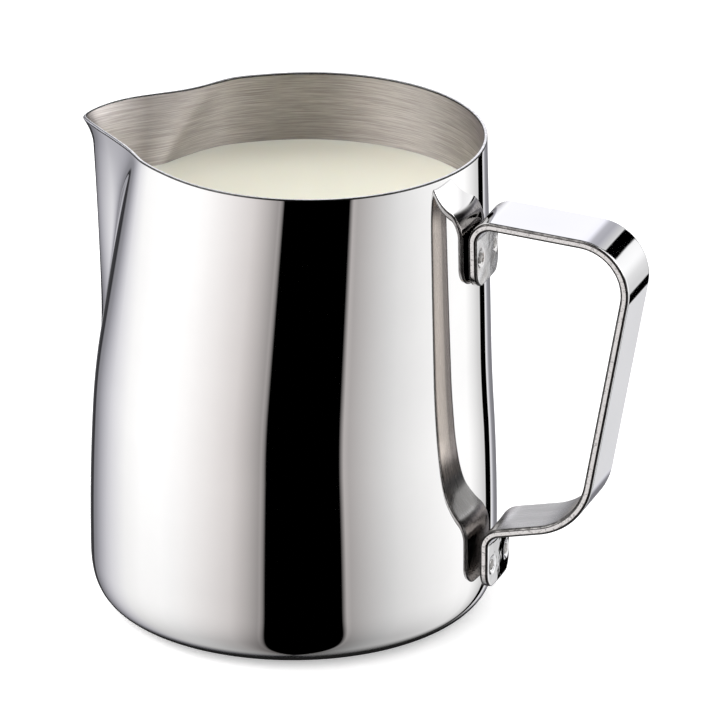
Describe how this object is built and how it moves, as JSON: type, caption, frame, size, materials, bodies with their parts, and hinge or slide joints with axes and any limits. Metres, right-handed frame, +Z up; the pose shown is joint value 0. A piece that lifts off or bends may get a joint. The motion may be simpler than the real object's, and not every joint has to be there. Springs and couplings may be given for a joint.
{
  "type": "milk frothing pitcher",
  "caption": "Open steel jug with a pressed V spout and a bent strip handle, for steaming and pouring milk.",
  "frame": {"origin": "on the body's axis at the resting plane", "axes": "+Z up, +X towards the handle, -X towards the pouring spout"},
  "size_m": [0.1296, 0.091, 0.11],
  "materials": {
    "pitcher_body": "stainless steel sheet, mirror polished outside and finely brushed inside",
    "handle": "stainless steel strip, mirror polished with satin edges",
    "spot_weld": "fused steel, dull dished mark"
  },
  "bodies": {
    "root": {"pitcher_body": "pitcher_body", "handle": "handle", "spot_weld_upper_front": "spot_weld", "spot_weld_upper_back": "spot_weld", "spot_weld_lower_front": "spot_weld", "spot_weld_lower_back": "spot_weld"}
  },
  "joints": []
}
